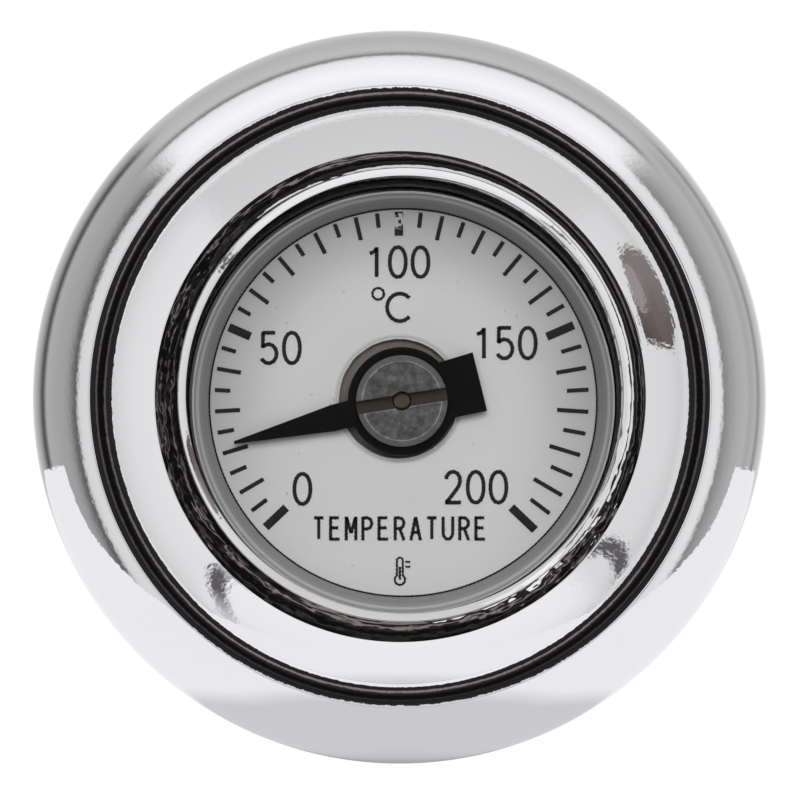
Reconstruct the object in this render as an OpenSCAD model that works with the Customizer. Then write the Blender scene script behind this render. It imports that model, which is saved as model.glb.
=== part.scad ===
// Dial thermometer with a bimetal stem, set in a chromed screw-in cap.
// Everything is laid out on a vertical z axis with the cap's seat plane at z = 0
// and the dial at the top, then laid over so that the dial faces -Y and the stem points along +Y.

/* [Cap] */
// Outer diameter of the cap
cap_d = 60; // [58:0.5:64]
// Radius of the rounded front shoulder
shoulder_r = 6.12; // [5.4:0.02:7]
// Radius of the edge between the side and the seat
back_edge_r = 2; // [1:0.1:3]
// Drop from the front face to the shoulder's inner edge
shoulder_drop = 1.6; // [1.2:0.1:2.2]
// Width of the turned groove inside the shoulder
groove_w = 1.9; // [1.5:0.05:2.2]
// Depth of the groove below the shoulder's inner edge
groove_depth = 1.15; // [1:0.05:1.6]
// Width of the ledge on the outer side of the groove's floor
groove_step_w = 0.55; // [0.3:0.05:0.9]
// Rise of that ledge above the floor
groove_step = 0.14; // [0.1:0.02:0.3]
// Width of the domed ring inside the groove
ring_w = 3.45; // [3:0.05:3.7]
// Slope of the domed ring at its inner edge, in degrees
ring_slope_in = 13; // [8:1:16]
// Slope of the domed ring at its outer edge, in degrees
ring_slope_out = 24; // [20:1:28]
// Width of the flat land round the bore
land_w = 1.5; // [1.2:0.05:1.8]
// Thickness of the web between the head and the threaded spigot
web_t = 2.5; // [2:0.1:3.5]

/* [Head] */
// Outer radius of the thermometer's case
case_r = 17.85; // [17.6:0.05:18.1]
// Wall of the drawn case
case_t = 0.4; // [0.3:0.05:0.5]
// Radial slack of the case in the cap's bore
case_slack = 0.45; // [0.42:0.01:0.6]
// How far the head lies below the cap's axis, within that slack
head_drop = 0.34; // [0:0.02:0.36]
// How far the head lies to the right of the cap's axis
head_side = 0.15; // [0:0.01:0.2]
// Thickness of the flat seal under the case
case_seal_t = 0.4; // [0.3:0.05:0.8]
// How far the flat seal stays inside the case's edge
case_seal_inset = 3.85; // [2:0.05:6]
// Height of the spacer that carries the dial
spacer_h = 2.6; // [2.2:0.1:4]
// Radial wall of the spacer
spacer_wall = 1.3; // [1:0.1:2]
// Height of the sloped surround above the dial
surround_h = 2.3; // [2.25:0.05:3]
// Width of the surround's top rim
surround_rim_w = 0.2; // [0.1:0.02:0.5]
// Width of the surround's foot on the dial
surround_foot_w = 1.42; // [1.1:0.02:1.7]
// Height of the surround's upright foot
surround_foot_h = 0.2; // [0.1:0.05:0.4]

/* [Glass] */
// Thickness of the glass lens
lens_t = 1.5; // [1:0.1:2]
// Radial slack of the lens in the bezel ring
lens_slack = 0.02; // [0.01:0.01:0.05]
// Radial wall of the bezel ring round the lens
bezel_wall = 0.28; // [0.24:0.02:0.4]
// How far the bezel's lip reaches in over the lens
bezel_lip_w = 0.16; // [0.12:0.02:0.3]
// Height of the bezel's lip above the lens
bezel_lip_h = 0.9; // [0.7:0.05:1.1]
// Radius of the bezel's outer front edge
bezel_edge_r = 0.24; // [0.16:0.02:0.3]
// Fall of the bezel's face from its crest to its inner edge
bezel_fall = 0.1; // [0.05:0.01:0.2]
// Thickness of the black lens gasket
gasket_t = 0.4; // [0.3:0.05:0.6]
// Radial slack of the bezel ring in the bore
bezel_slack = 0.2; // [0.2:0.01:0.3]
// How far the bezel and lens sit to the right in the bore
bezel_side = 0.18; // [0:0.01:0.18]
// How far the bezel and lens sit up in the bore
bezel_rise = 0.05; // [0:0.01:0.06]
// How far the lens gasket reaches in past the bezel's lip
gasket_show = 0.14; // [0.05:0.01:0.2]
// Radial slack of the lens gasket in the cap's bore
gasket_slack = 0.45; // [0.4:0.01:0.5]
// How far the lens gasket has slipped down in the bore
gasket_drop = 0.27; // [0:0.01:0.29]
// How far the lens gasket has slipped to the right
gasket_side = 0.26; // [0:0.01:0.26]

/* [Dial] */
// Thickness of the dial plate
dial_t = 0.5; // [0.4:0.05:0.8]
// Radial clearance of the dial plate in the case
dial_fit = 0.15; // [0.1:0.05:0.3]
// Width of the dial hole that shows round the pointer's centre
dial_hole_show = 0.46; // [0.4:0.02:0.6]
// How far the hole is punched to the left of the spindle
dial_hole_left = 0.22; // [0:0.02:0.24]
// How far the hole is punched above the spindle
dial_hole_rise = 0.19; // [0:0.01:0.2]
// Lowest temperature on the scale, in degrees Celsius
scale_low = 0; // [0:10:40]
// Highest temperature on the scale
scale_high = 200; // [120:20:240]
// Degrees Celsius from one mark to the next
scale_step = 5; // [5,10]
// Sweep of the whole scale, in degrees of angle
scale_sweep = 270; // [240:5:280]
// Distance of the marks' outer ends from the surround
scale_margin = 0.68; // [0.4:0.02:1]
// Length of the long marks
long_mark = 2.3; // [2:0.05:2.8]
// Length of the short marks
short_mark = 1.45; // [1.2:0.05:1.8]
// How far the inner ends are printed above the dial's centre
mark_rise = 0.64; // [0:0.02:0.7]
// How far the inner ends are printed to the left
mark_left = 0.38; // [0:0.02:0.4]
// Width of the thin marks
mark_w = 0.31; // [0.25:0.01:0.4]
// Width of the five main marks
main_mark_w = 0.69; // [0.5:0.01:0.8]
// Thickness of the printed marks
print_t = 0.04; // [0.03:0.01:0.08]

/* [Pointer] */
// Temperature shown at rest
reading = 23; // [0:1:120]
// Height of the pointer's underside above the dial
pointer_gap = 0.6; // [0.4:0.05:0.7]
// Thickness of the pointer
pointer_t = 0.4; // [0.3:0.05:0.5]
// Width of the pointer's round centre that shows outside the hub
disc_show = 0.68; // [0.5:0.02:0.9]
// How far the tip falls short of the marks' outer ends
tip_short = 1.14; // [0.6:0.02:3]
// Width of the pointer's neck
neck_w = 2.17; // [1.6:0.01:2.4]
// Length of the neck outside the round centre
neck_len = 1.27; // [0.6:0.01:2.5]
// Width of the blunt tip
tip_w = 0.24; // [0.15:0.01:0.4]
// Length of the broad tail outside the round centre
tail_len = 2.16; // [1:0.02:3.2]
// Width of the tail where it leaves the centre
tail_root_w = 4.3; // [3.6:0.05:4.8]
// Width of the tail's end
tail_end_w = 4.92; // [4.2:0.02:5.4]
// Radius of the slotted hub on the pointer
hub_r = 3.71; // [3.4:0.01:3.9]
// Thickness of the slotted hub
hub_t = 1; // [0.8:0.05:1.1]
// Chamfer round the hub's front edge
hub_chamfer = 0.24; // [0.15:0.01:0.3]
// Radius of the hub's boss through the pointer
boss_r = 1.6; // [1.3:0.05:2]
// Length of the hub's boss behind the pointer
boss_len = 0.3; // [0.2:0.05:0.35]
// Width of the adjusting slot
slot_w = 1.08; // [0.9:0.02:1.2]
// Depth of the adjusting slot
slot_depth = 0.5; // [0.4:0.05:0.6]
// Angle of the adjusting slot above level
slot_angle = 9; // [0:1:90]

/* [Movement] */
// Radius of the spindle
spindle_r = 0.74; // [0.6:0.01:0.8]
// Radial running clearance of the spindle in its bearings
bearing_gap = 0.04; // [0.02:0.01:0.08]
// Radial clearance of the pointer's hub on the spindle
hub_gap = 0.03; // [0.02:0.01:0.06]
// How far the bush's flange reaches behind the dial round its hole
bush_reach = 0.75; // [0.5:0.05:1.2]
// Thickness of the bush's flange
bush_flange_t = 0.3; // [0.2:0.05:0.5]
// How far the bush's foot reaches past the stem
bush_foot_reach = 1; // [0.6:0.1:2]
// Height of the bush's foot
bush_foot_h = 0.6; // [0.4:0.1:1]
// Wall of the bush's neck round the spindle
bush_wall = 1.62; // [1:0.02:2.4]
// Distance of the lower guide from the collar's end
guide_drop = 1; // [0.5:0.1:2]
// Height of the lower guide
guide_h = 2; // [1.5:0.1:3]
// Distance from the seat to the top of the bimetal winding
winding_top = 26; // [25:1:30]
// Height of the collar that joins the winding to the spindle
winding_collar_h = 1.6; // [1:0.1:2]
// Radial gap between the bimetal winding and the stem
winding_gap = 0.45; // [0.3:0.01:0.6]
// Thickness of the bimetal strip
strip_t = 0.25; // [0.2:0.01:0.35]
// Width of the bimetal strip
strip_w = 1; // [0.8:0.05:1.1]
// Rise of the winding in one turn
winding_pitch = 1.6; // [1.5:0.1:2]
// Height of the anchor that holds the winding's lower end
anchor_h = 1; // [0.8:0.1:1.5]

/* [Stem] */
// Outer radius of the stem
stem_r = 3; // [2.9:0.05:3.2]
// Wall of the stem
stem_wall = 0.4; // [0.3:0.05:0.5]
// Length of the stem behind the seat
stem_len = 50; // [48:1:80]
// Step in radius where the stem is turned down for the collar
stem_step = 0.2; // [0.16:0.02:0.24]
// How far the tip's plug reaches into the tube
tip_plug = 1; // [0.8:0.1:1.5]
// Outer radius of the threaded collar, M10 x 1
collar_r = 5; // [4.8:0.05:5.2]
// How far the collar stands out past the clamp nut
collar_spare = 1.2; // [0.8:0.1:2]

/* [Spigot] */
// Outer radius of the spigot's thread, G 1/2
spigot_r = 10.48; // [10.2:0.01:10.6]
// Length of the spigot behind the seat
spigot_len = 12; // [10:0.5:13]
// Chamfer at the spigot's end
spigot_chamfer = 0.8; // [0.5:0.1:1.1]
// Pitch of the spigot's thread, cut here as rings
thread_pitch = 1.814; // [1.5:0.05:2]
// Depth of the thread
thread_depth = 1.1; // [0.8:0.05:1.2]
// Width of the thread's crest
thread_crest_w = 0.3; // [0.2:0.05:0.4]
// Least plain neck between the thread and the seat
thread_neck = 1.4; // [1:0.1:2]
// Radius of the spigot's flange
flange_r = 16; // [15.6:0.1:16.4]
// Thickness of the spigot's flange
flange_t = 3.5; // [3.2:0.1:4]
// Radial clearance of the flange in the cap's recess
flange_gap = 0.05; // [0.03:0.01:0.1]
// Radial clearance of the collar in the web and the spigot
collar_gap = 0.45; // [0.42:0.01:0.6]
// Section radius of the seat O-ring
o_ring_r = 1; // [0.9:0.05:1.1]
// Distance of the O-ring's centre line from the flange's edge
o_ring_inset = 2.6; // [2:0.1:3]
// Clearance on each side of the O-ring in its groove
o_ring_gap = 0.05; // [0.02:0.01:0.1]
// Radius of the drive pins
drive_pin_r = 1.2; // [0.9:0.1:1.3]
// Distance of the drive pins from the axis
drive_pin_at = 9.2; // [8.6:0.1:9.6]
// How far each drive pin reaches into the cap
pin_in_cap = 1.5; // [1:0.1:1.7]
// How far each drive pin reaches into the flange
pin_in_flange = 2; // [1.5:0.1:2.4]
// Thickness of the washer under the nut
washer_t = 0.8; // [0.6:0.1:1.2]
// Radial width of the washer
washer_w = 2.2; // [1.6:0.1:3]
// Radial clearance of the washer on the collar
washer_gap = 0.2; // [0.1:0.05:0.3]
// Wall of the clamp nut at its flats
nut_wall = 1.5; // [1.2:0.1:2.5]
// Thickness of the clamp nut
nut_t = 5; // [4:0.5:5.5]

/* [Hidden] */
$fn = 96;
arc_steps = 14;

// Radii of the cap, from its bore outwards
cap_r = cap_d / 2;
bore_r = case_r + case_slack;
ring_in_r = bore_r + land_w;
groove_in_r = ring_in_r + ring_w;
groove_out_r = groove_in_r + groove_w;
recess_r = flange_r + flange_gap;
web_hole_r = collar_r + collar_gap;

// Heights of the stack, from the web forwards
web_front = flange_t + web_t;
case_back = web_front + case_seal_t;
case_floor = case_back + case_t;
dial_back = case_floor + spacer_h;
dial_front = dial_back + dial_t;
case_rim = dial_front + surround_h;
lens_back = case_rim + gasket_t;
lens_front = lens_back + lens_t;
cap_front = lens_front + bezel_lip_h;
pointer_back = dial_front + pointer_gap;
pointer_front = pointer_back + pointer_t;
hub_front = pointer_front + hub_t;
slot_floor = hub_front - slot_depth;

// Radii on the dial, from the surround inwards
dial_view_r = case_r - case_t - dial_fit - surround_foot_w;
scale_r = dial_view_r - scale_margin;
long_mark_r = scale_r - long_mark;
short_mark_r = scale_r - short_mark;
tip_r = scale_r - tip_short;
pointer_disc_r = hub_r + disc_show;
dial_hole_r = pointer_disc_r + dial_hole_show;
bush_flange_r = dial_hole_r + bush_reach;

// Depths behind the seat
washer_back = -spigot_len - washer_t;
nut_back = washer_back - nut_t;
collar_end = nut_back - collar_spare;
tube_end = stem_r - stem_len;
anchor_back = tube_end + tip_plug;
anchor_top = anchor_back + anchor_h;
winding_end = -winding_top;

// Radii that fit inside one another
bezel_r = bore_r - bezel_slack;
lens_r = bezel_r - bezel_wall - lens_slack;
lip_r = lens_r - bezel_lip_w;
case_bore_r = case_r - case_t;
dial_r = case_bore_r - dial_fit;
stem_bore_r = stem_r - stem_wall;
stem_neck_r = stem_r - stem_step;
surround_mouth_r = dial_r - surround_rim_w;
gasket_in_r = lip_r - gasket_show;
gasket_out_r = bore_r - gasket_slack;
bearing_r = spindle_r + bearing_gap;
hub_bore_r = spindle_r + hub_gap;
winding_r = stem_bore_r - winding_gap;
o_ring_ring_r = flange_r - o_ring_inset;

skirt_gap = 0.1;
coil_end_gap = 0.02;
marks_per_main = 50;
marks_per_long = 10;
degree = scale_sweep / (scale_high - scale_low);
scale_start = 90 + scale_sweep / 2;
turn_segments = 12;

// Points along an arc about [x, z], from angle a to angle b, measured from the z axis towards x
function arc(x, z, r, a, b, n = arc_steps) =
    [for (i = [0:n]) let (t = a + (b - a) * i / n) [x + r * sin(t), z + r * cos(t)]];

// Direction on the dial, as an angle from the x axis, of a temperature
function dial_angle(c) = scale_start - (c - scale_low) * degree;

// Lays the part over: the dial faces -Y and 100 degrees is at +Z
module in_cap() rotate([90, 0, 0]) children();

// The same for the bezel and lens, which sit against one side of the bore
module in_bezel() in_cap() translate([bezel_side, bezel_rise, 0]) children();

// The same for the head and stem, which lie a little off the cap's axis
module in_head() rotate([90, 0, 0]) translate([head_side, -head_drop, 0]) children();

module turned(points) rotate_extrude() polygon(points);

module ring(r_in, r_out, z, h) turned([[r_in, z], [r_out, z], [r_out, z + h], [r_in, z + h]]);

module at_drive_pins(z) for (a = [0, 180]) rotate([0, 0, a]) translate([drive_pin_at, 0, z]) children();

module cap_body() {
    side_r = cap_r - shoulder_r;
    t_shoulder = asin((groove_out_r - side_r) / shoulder_r);
    shoulder_z = cap_front - shoulder_drop - shoulder_r * cos(t_shoulder);
    ledge_in_r = groove_out_r - groove_step_w;
    groove_z = cap_front - shoulder_drop - groove_depth;
    crown_r = ring_w / (sin(ring_slope_out) - sin(ring_slope_in));
    crown_at = [ring_in_r - crown_r * sin(ring_slope_in), cap_front - crown_r * cos(ring_slope_in)];
    color("silver") in_cap() difference() {
        turned(concat(
            [[web_hole_r, flange_t], [recess_r, flange_t], [recess_r, 0]],
            arc(cap_r - back_edge_r, back_edge_r, back_edge_r, 180, 90, 8),
            arc(side_r, shoulder_z, shoulder_r, 90, t_shoulder),
            [[groove_out_r, groove_z + groove_step], [ledge_in_r, groove_z + groove_step],
             [ledge_in_r - groove_step, groove_z], [groove_in_r, groove_z]],
            arc(crown_at[0], crown_at[1], crown_r, ring_slope_out, ring_slope_in, 6),
            [[bore_r, cap_front], [bore_r, web_front], [web_hole_r, web_front]]));
        at_drive_pins(flange_t - pin_in_flange) cylinder(r = drive_pin_r, h = pin_in_flange + pin_in_cap);
    }
}

// The thread's grooves as rings, as many as fit between the end's chamfer and the neck, end first
function thread_rings() = let (
        first = spigot_chamfer - spigot_len + thread_crest_w / 2,
        rings = floor((-thread_neck - first) / thread_pitch))
    [for (i = [0:rings - 1], step = [0:2]) let (z = first + i * thread_pitch)
        step == 0 ? [spigot_r, z + thread_crest_w / 2]
        : step == 1 ? [spigot_r - thread_depth, z + thread_pitch / 2]
        : [spigot_r, z + thread_pitch - thread_crest_w / 2]];

module threaded_spigot() {
    groove_in = o_ring_ring_r - o_ring_r - o_ring_gap;
    groove_out = o_ring_ring_r + o_ring_r + o_ring_gap;
    color("gainsboro") in_cap() difference() {
        turned(concat([[web_hole_r, -spigot_len], [spigot_r - spigot_chamfer, -spigot_len],
                [spigot_r, spigot_chamfer - spigot_len]], thread_rings(), [[spigot_r, 0],
                [groove_in, 0], [groove_in, 2 * o_ring_r], [groove_out, 2 * o_ring_r], [groove_out, 0],
                [flange_r, 0], [flange_r, flange_t], [web_hole_r, flange_t]]));
        at_drive_pins(flange_t - pin_in_flange) cylinder(r = drive_pin_r, h = pin_in_flange);
    }
}

module seat_o_ring()
    color("#202020") in_cap() rotate_extrude() translate([o_ring_ring_r, o_ring_r]) circle(r = o_ring_r);

module drive_pins()
    color("gray") in_cap() at_drive_pins(flange_t - pin_in_flange)
        cylinder(r = drive_pin_r, h = pin_in_flange + pin_in_cap);

module case_seal()
    color("#2b2b2b") in_head() ring(collar_r, case_r - case_seal_inset, web_front, case_seal_t);

module head_case()
    color("lightgray") in_head()
        turned([[stem_neck_r, case_back], [case_r, case_back], [case_r, case_rim], [case_bore_r, case_rim],
                [case_bore_r, case_floor], [stem_neck_r, case_floor]]);

module stem_collar()
    color("tan") in_head() ring(stem_neck_r, collar_r, collar_end, case_back - collar_end);

module lock_washer()
    color("silver") in_head() ring(collar_r + washer_gap, collar_r + washer_gap + washer_w, washer_back, washer_t);

module clamp_nut()
    color("tan") in_head() translate([0, 0, nut_back]) difference() {
        cylinder(r = (collar_r + nut_wall) / cos(30), h = nut_t, $fn = 6);
        translate([0, 0, -1]) cylinder(r = collar_r, h = nut_t + 2);
    }

module stem_tube()
    color("lightgray") in_head()
        turned([[stem_bore_r, tube_end], [stem_r, tube_end], [stem_r, collar_end], [stem_neck_r, collar_end],
                [stem_neck_r, case_floor], [stem_bore_r, case_floor]]);

module stem_tip()
    color("darkgray") in_head()
        turned(concat([[0, anchor_back], [0, tube_end - stem_r]],
                      arc(0, tube_end, stem_r, 180, 90),
                      [[stem_bore_r, tube_end], [stem_bore_r, anchor_back]]));

module stem_guide()
    color("white") in_head() ring(bearing_r, stem_bore_r, collar_end - guide_drop - guide_h, guide_h);

module coil_anchor()
    color("tan") in_head() translate([0, 0, anchor_back]) cylinder(r = stem_bore_r, h = anchor_h);

// The strip is swept up its helix on four corners, with a flat cap at each end
module bimetal_coil() {
    rise = winding_end - anchor_top - strip_w - 2 * coil_end_gap;
    rings = round(turn_segments * rise / winding_pitch);
    corners = [[winding_r - strip_t, 0], [winding_r, 0], [winding_r, strip_w], [winding_r - strip_t, strip_w]];
    points = [for (i = [0:rings], c = corners) let (a = 360 * i / turn_segments)
        [c[0] * cos(a), c[0] * sin(a), anchor_top + coil_end_gap + c[1] + rise * i / rings]];
    sides = [for (i = [0:rings - 1], k = [0:3], half = [0:1]) let (p = 4 * i, n = (k + 1) % 4)
        half == 0 ? [p + k, p + k + 4, p + n] : [p + n, p + k + 4, p + n + 4]];
    last = 4 * rings;
    ends = [[0, 1, 2], [0, 2, 3], [last, last + 2, last + 1], [last, last + 3, last + 2]];
    color("goldenrod") in_head() polyhedron(points, concat(sides, ends));
}

module dial_spacer()
    color("#303030") in_head() ring(dial_r - spacer_wall, dial_r, case_floor, spacer_h);

module upper_bush() {
    foot_r = stem_r + bush_foot_reach;
    neck_r = bearing_r + bush_wall;
    color("peru") in_head()
        turned([[bearing_r, case_floor], [foot_r, case_floor], [foot_r, case_floor + bush_foot_h],
                [neck_r, case_floor + bush_foot_h], [neck_r, dial_back - bush_flange_t],
                [bush_flange_r, dial_back - bush_flange_t], [bush_flange_r, dial_back],
                [bearing_r, dial_back]]);
}

module dial_plate()
    color("whitesmoke") in_head() translate([0, 0, dial_back]) difference() {
        cylinder(r = dial_r, h = dial_t);
        translate([-dial_hole_left, dial_hole_rise, -1]) cylinder(r = dial_hole_r, h = dial_t + 2);
    }

// One family of marks: bars cut to length by two circles, the inner one printed off centre
module marks(temperatures, width, inner_r)
    difference() {
        intersection() {
            circle(r = scale_r);
            for (c = temperatures) rotate(dial_angle(c)) translate([long_mark_r / 2, -width / 2])
                square([scale_r, width]);
        }
        translate([-mark_left, mark_rise]) circle(r = inner_r);
    }

module scale_marks() {
    all = [for (c = [scale_low:scale_step:scale_high]) c];
    main = [for (c = all) if (c % marks_per_main == 0) c];
    long = [for (c = all) if (c % marks_per_long == 0 && c % marks_per_main != 0) c];
    short = [for (c = all) if (c % marks_per_long != 0) c];
    color("#1c1c1c") in_head() translate([0, 0, dial_front]) linear_extrude(print_t) {
        marks(main, main_mark_w, long_mark_r);
        marks(long, mark_w, long_mark_r);
        if (len(short) > 0) marks(short, mark_w, short_mark_r);
    }
}

module dial_surround()
    color("gray") in_head()
        turned([[dial_view_r, dial_front], [dial_r, dial_front], [dial_r, case_rim],
                [surround_mouth_r, case_rim], [dial_view_r, dial_front + surround_foot_h]]);

module lens_gasket()
    color("#181818") in_cap() translate([gasket_side, -gasket_drop, 0])
        ring(gasket_in_r, gasket_out_r, case_rim, gasket_t);

module lens()
    color("lightblue", 0.35) in_bezel() translate([0, 0, lens_back]) cylinder(r = lens_r, h = lens_t);

module bezel_ring() {
    skirt_r = lens_r + lens_slack;
    color("silver") in_bezel()
        turned(concat([[skirt_r, lens_back + skirt_gap], [bezel_r, lens_back + skirt_gap]],
                      arc(bezel_r - bezel_edge_r, cap_front - bezel_edge_r, bezel_edge_r, 90, 0, 6),
                      [[lip_r, cap_front - bezel_fall], [lip_r, lens_front], [skirt_r, lens_front]]));
}

module spindle()
    color("gold") in_head() translate([0, 0, winding_end])
        cylinder(r = spindle_r, h = slot_floor - winding_end);

module coil_collar()
    color("goldenrod") in_head() ring(spindle_r, winding_r, winding_end, winding_collar_h);

// The needle, the round centre and the broad tail, pointing at the reading
module pointer() {
    neck_end = pointer_disc_r + neck_len;
    tail_end = pointer_disc_r + tail_len;
    color("#151515") in_head() translate([0, 0, pointer_back]) rotate([0, 0, dial_angle(reading)])
        linear_extrude(pointer_t) difference() {
            union() {
                circle(r = pointer_disc_r);
                polygon([[0, -neck_w / 2], [neck_end, -neck_w / 2], [tip_r, -tip_w / 2],
                         [tip_r, tip_w / 2], [neck_end, neck_w / 2], [0, neck_w / 2]]);
                polygon([[0, -tail_root_w / 2], [0, tail_root_w / 2],
                         [-tail_end, tail_end_w / 2], [-tail_end, -tail_end_w / 2]]);
            }
            circle(r = boss_r);
        }
}

module pointer_hub()
    color("dimgray") in_head() difference() {
        turned([[hub_bore_r, pointer_back - boss_len], [boss_r, pointer_back - boss_len],
                [boss_r, pointer_front], [hub_r, pointer_front], [hub_r, hub_front - hub_chamfer],
                [hub_r - hub_chamfer, hub_front], [hub_bore_r, hub_front]]);
        rotate([0, 0, slot_angle]) translate([-hub_r - 1, -slot_w / 2, slot_floor])
            cube([2 * hub_r + 2, slot_w, slot_depth + 1]);
    }

cap_body();
threaded_spigot();
seat_o_ring();
drive_pins();
case_seal();
head_case();
stem_collar();
lock_washer();
clamp_nut();
stem_tube();
stem_tip();
stem_guide();
coil_anchor();
bimetal_coil();
dial_spacer();
upper_bush();
dial_plate();
scale_marks();
dial_surround();
lens_gasket();
lens();
bezel_ring();
spindle();
coil_collar();
pointer();
pointer_hub();
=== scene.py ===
import math
import bmesh
import bpy
import numpy as np
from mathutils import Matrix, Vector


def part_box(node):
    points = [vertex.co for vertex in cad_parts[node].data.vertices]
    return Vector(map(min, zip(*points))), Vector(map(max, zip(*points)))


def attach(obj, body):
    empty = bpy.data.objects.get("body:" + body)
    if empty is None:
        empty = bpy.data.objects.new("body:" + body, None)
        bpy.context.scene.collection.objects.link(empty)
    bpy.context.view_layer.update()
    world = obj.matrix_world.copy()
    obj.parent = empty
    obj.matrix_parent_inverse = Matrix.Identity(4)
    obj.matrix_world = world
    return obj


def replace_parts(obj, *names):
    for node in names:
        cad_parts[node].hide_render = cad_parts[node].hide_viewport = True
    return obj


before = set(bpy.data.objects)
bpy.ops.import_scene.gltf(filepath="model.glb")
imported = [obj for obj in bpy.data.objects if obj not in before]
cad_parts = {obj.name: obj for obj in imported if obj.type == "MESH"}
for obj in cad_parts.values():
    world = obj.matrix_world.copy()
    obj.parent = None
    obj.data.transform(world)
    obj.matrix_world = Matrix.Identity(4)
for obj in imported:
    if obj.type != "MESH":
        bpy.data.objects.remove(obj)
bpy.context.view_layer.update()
print("frame loaded:", len(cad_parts), "nodes")

mm = 0.001


# places read from the frame, in millimetres; depth is measured forwards from the seat

def span(node):
    low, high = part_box(node)
    return {"radius": (high.x - low.x) / 2 / mm, "front": -low.y / mm, "back": -high.y / mm,
            "centre": ((low.x + high.x) / 2 / mm, (low.z + high.z) / 2 / mm)}


cap, spigot, bezel, lens, gasket, surround, dial, hub, pointer = map(span, (
    "cap_body", "threaded_spigot", "bezel_ring", "lens", "lens_gasket", "dial_surround", "dial_plate",
    "pointer_hub", "pointer"))
bush, spindle, collar, washer, nut, stem, tip, oRing = map(span, (
    "upper_bush", "spindle", "stem_collar", "lock_washer", "clamp_nut", "stem_tube", "stem_tip", "seat_o_ring"))
capAxis = (0.0, 0.0)
headAxis = surround["centre"]
dialShape = {"hole radius": 4.85, "hole left": 0.22, "hole rise": 0.19, "edge": 0.12}
holeAxis = (headAxis[0] - dialShape["hole left"], headAxis[1] + dialShape["hole rise"])
surroundSkew = (0.12, -0.12)  # it is pressed in a little askew
surroundAxis = tuple(place + move for place, move in zip(headAxis, surroundSkew))


# surfaces: whole arrays of points on a grid

def addMesh(name, points, faces, body, material):
    # one smooth object from points in millimetres, carried by a body
    mesh = bpy.data.meshes.new(name)
    mesh.from_pydata(points.reshape(-1, 3) * mm, [], faces)
    mesh.validate()
    piece = bpy.data.objects.new(name, mesh)
    bpy.context.collection.objects.link(piece)
    mesh.materials.append(material)
    mesh.polygons.foreach_set("use_smooth", np.ones(len(mesh.polygons), bool))
    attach(piece, body)
    return piece


def gridFaces(rows, columns, wrapRows, wrapColumns):
    # one quad for each step along both parameters, the last joined to the first where it wraps
    i = np.arange(rows if wrapRows else rows - 1)
    j = np.arange(columns if wrapColumns else columns - 1)
    i, j = np.meshgrid(i, j, indexing="ij")
    down, along = (i + 1) % rows, (j + 1) % columns
    quads = np.stack([i * columns + j, down * columns + j, down * columns + along, i * columns + along], -1)
    return quads.reshape(-1, 4)


def outwards(points, quads):
    # the signed volume of the tetrahedra to the origin tells which way the faces point
    a, b, c, d = (points.reshape(-1, 3)[quads[:, k]] for k in range(4))
    volume = np.einsum("ij,ij->i", a, np.cross(b, c)).sum() + np.einsum("ij,ij->i", a, np.cross(c, d)).sum()
    return quads if volume > 0 else quads[:, ::-1]


def softProfile(corners, support=0.05, turnStep=12.0):
    # each corner (radius, depth, fillet) becomes an arc tangent to both sides; long runs get a
    # point close to each end, so that smooth shading leaves them flat
    corners = [tuple(c) if len(c) == 3 else (*c, 0.0) for c in corners]
    count, out = len(corners), []
    for k in range(count):
        before, here, after = (np.array(corners[(k + s) % count][:2]) for s in (-1, 0, 1))
        fillet = corners[k][2]
        inward, onward = here - before, after - here
        lengths = np.linalg.norm(inward), np.linalg.norm(onward)
        if fillet <= 0 or min(lengths) < 1e-6:
            out.append(here[None])
            continue
        inward, onward = inward / lengths[0], onward / lengths[1]
        turn = math.atan2(inward[0] * onward[1] - inward[1] * onward[0], inward @ onward)
        if abs(turn) < 0.02:
            out.append(here[None])
            continue
        reach = min(fillet * math.tan(abs(turn) / 2), 0.45 * min(lengths))
        radius = reach / math.tan(abs(turn) / 2)
        normal = np.array([-inward[1], inward[0]]) * np.sign(turn)
        centre = here - inward * reach + normal * radius
        steps = max(3, int(math.degrees(abs(turn)) / turnStep) + 1)
        angle = np.linspace(0, turn, steps)
        arm = -normal * radius
        out.append(centre + np.stack([arm[0] * np.cos(angle) - arm[1] * np.sin(angle),
                                      arm[0] * np.sin(angle) + arm[1] * np.cos(angle)], -1))
    loop = np.concatenate(out)
    following = np.roll(loop, -1, 0)
    run = following - loop
    length = np.linalg.norm(run, axis=1)
    isLong = length > 4 * support
    unit = run / np.maximum(length, 1e-9)[:, None]
    extra = [[p] if not far else [p, p + u * support, q - u * support]
             for p, q, u, far in zip(loop, following, unit, isLong)]
    return np.array([p for group in extra for p in group])


def arcPoints(x, y, radius, start, end, count):
    # points at equal angles, in degrees from the depth axis towards the radius
    angle = np.radians(np.linspace(start, end, count))
    return [(x + radius * s, y + radius * c) for s, c in zip(np.sin(angle), np.cos(angle))]


def turnedPoints(profile, centre, segments, relief=None):
    # a closed profile (radius, depth) carried round the axis: x and z are the radius times the
    # cosine and sine of the turn, and y is minus the depth; relief is taken off the radius
    turn = np.linspace(0, 2 * np.pi, segments, endpoint=False)
    radius, depth = profile[:, 0:1] + 0 * turn, profile[:, 1:2] + 0 * turn
    if relief:
        radius = radius - relief(radius, depth, turn)
    return np.stack([centre[0] + radius * np.cos(turn), -depth, centre[1] + radius * np.sin(turn)], -1)


def turnedPiece(name, corners, centre, node, body, material, segments=192, relief=None):
    profile = softProfile(corners)
    points = turnedPoints(profile, centre, segments, relief)
    return gridPiece(name, points, node, body, material)


def gridPiece(name, points, node, body, material, wrapRows=True, sharp=35.0):
    quads = outwards(points, gridFaces(*points.shape[:2], wrapRows, True))
    piece = addMesh(name, points, quads.tolist(), body, material)
    mergePoles(piece)
    piece.data.set_sharp_from_angle(angle=math.radians(sharp))
    if node:
        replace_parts(piece, node)
    return piece


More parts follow.
